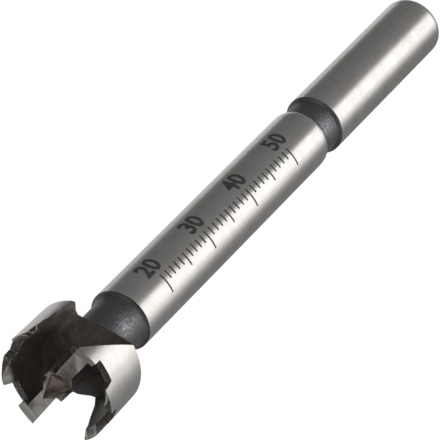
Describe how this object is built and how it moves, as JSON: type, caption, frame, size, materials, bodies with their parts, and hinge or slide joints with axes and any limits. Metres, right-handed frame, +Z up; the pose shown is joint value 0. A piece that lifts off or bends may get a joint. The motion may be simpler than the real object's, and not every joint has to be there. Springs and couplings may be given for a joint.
{
  "type": "forstner bit",
  "caption": "Wood-boring bit for flat-bottomed holes, with cutting bars, a toothed rim, a centre point, a short neck and a grooved round shank.",
  "frame": {"origin": "bottom centre of the bit's bounding box as it lies on a table", "axes": "+Y from the head to the shank's end, +Z up"},
  "size_m": [0.0144, 0.0902, 0.0139],
  "materials": {
    "steel": "ground bright on the shank, lands, bars and teeth, black oxide in the throats, hollows, neck and groove"
  },
  "bodies": {
    "root": {"forstner_bit": "steel"}
  },
  "joints": []
}
